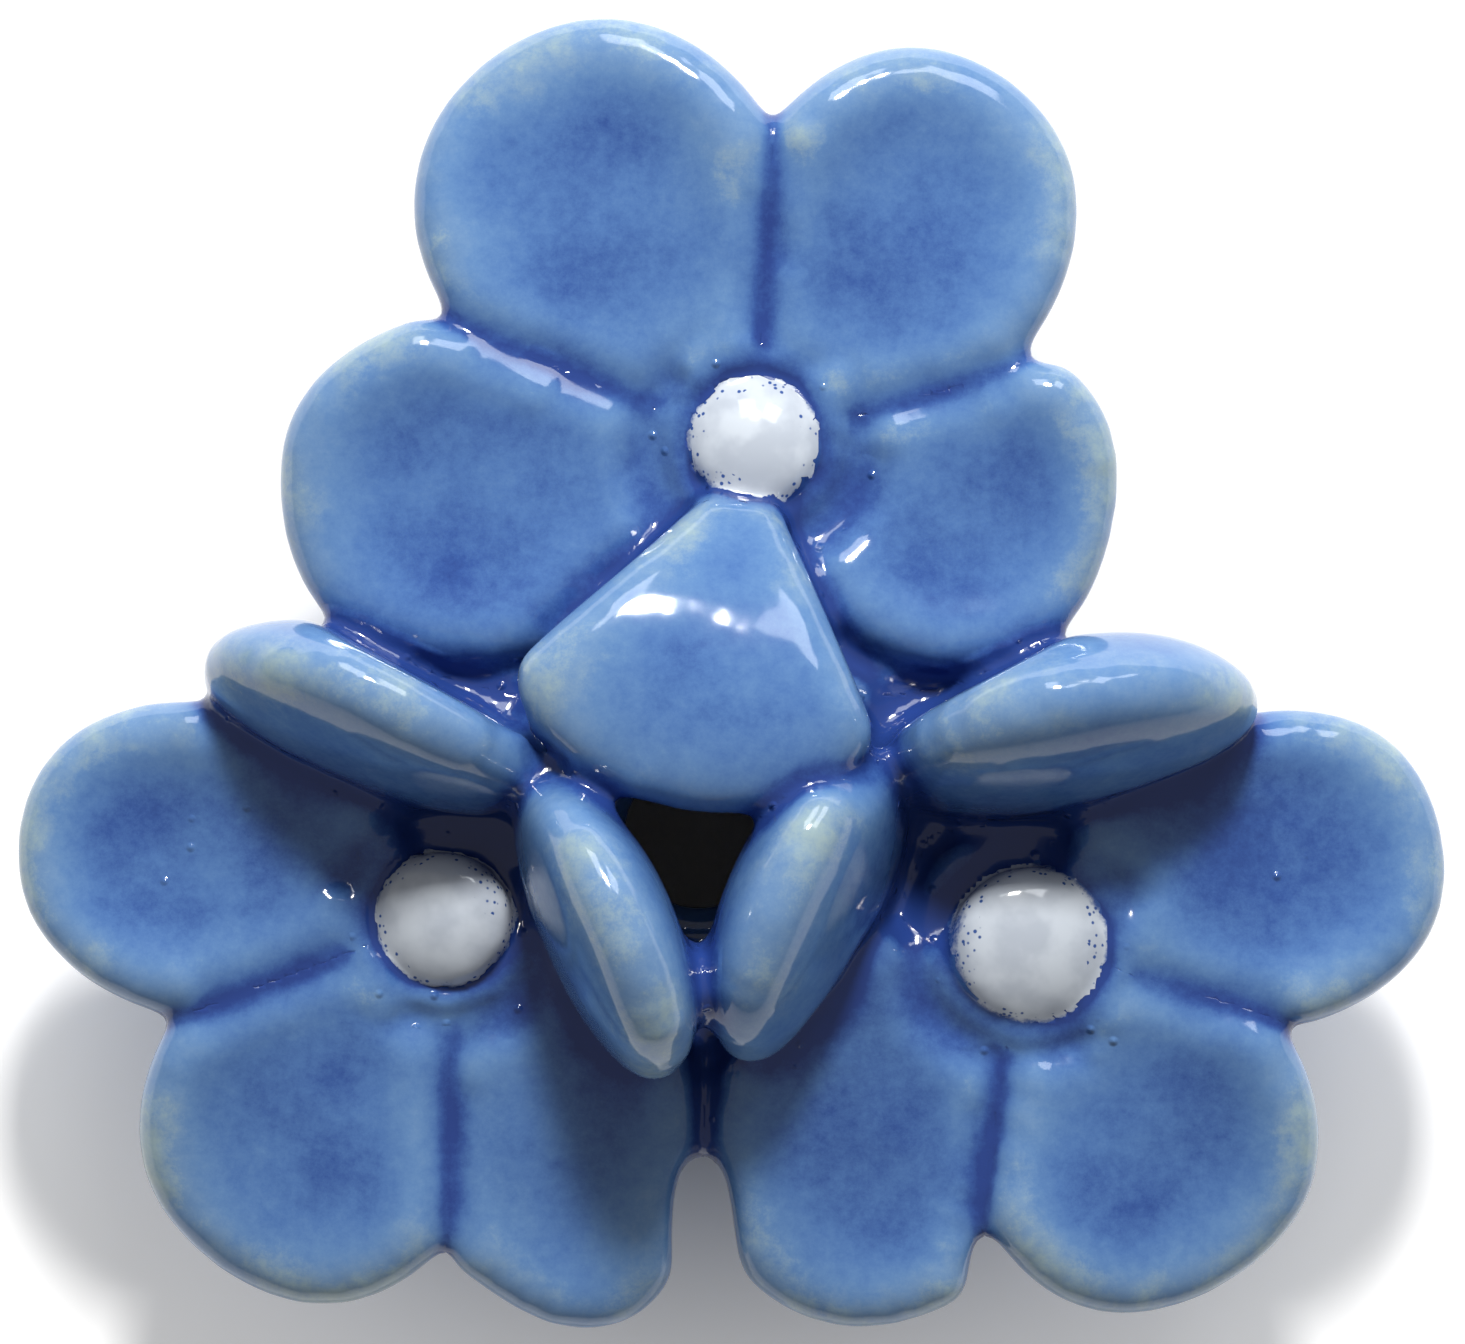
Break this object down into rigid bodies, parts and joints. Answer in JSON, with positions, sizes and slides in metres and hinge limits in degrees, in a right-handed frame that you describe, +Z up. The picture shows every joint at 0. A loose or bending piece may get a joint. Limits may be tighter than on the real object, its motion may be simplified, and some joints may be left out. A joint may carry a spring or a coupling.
{
  "type": "flower frog",
  "caption": "Glazed pottery flower frog: a hollow dome with a stem hole, covered by thick-petalled flowers, some petals folded up round the hole.",
  "frame": {"origin": "on the table, under the middle of the outline", "axes": "+Z up; +X across the two front flowers, the wider way; +Y towards the back flower"},
  "size_m": [0.1006, 0.0921, 0.0409],
  "materials": {
    "glaze_blue": "gloss",
    "glaze_white": "gloss",
    "clay_body": "gloss; bare clay on the foot ring"
  },
  "bodies": {
    "root": {"body_dome": "clay_body", "stem_collar": "glaze_blue", "back_flower_base": "glaze_blue", "back_flower_eye": "glaze_white", "back_petal_right": "glaze_blue", "back_petal_rear_right": "glaze_blue", "back_petal_rear_left": "glaze_blue", "back_petal_left": "glaze_blue", "back_petal_front": "glaze_blue", "left_flower_base": "glaze_blue", "left_flower_eye": "glaze_white", "left_petal_outer": "glaze_blue", "left_petal_front_left": "glaze_blue", "left_petal_front_right": "glaze_blue", "left_petal_inner": "glaze_blue", "left_petal_rear": "glaze_blue", "right_flower_base": "glaze_blue", "right_flower_eye": "glaze_white", "right_petal_front_left": "glaze_blue", "right_petal_front_right": "glaze_blue", "right_petal_outer": "glaze_blue", "right_petal_rear": "glaze_blue", "right_petal_inner": "glaze_blue"}
  },
  "joints": []
}
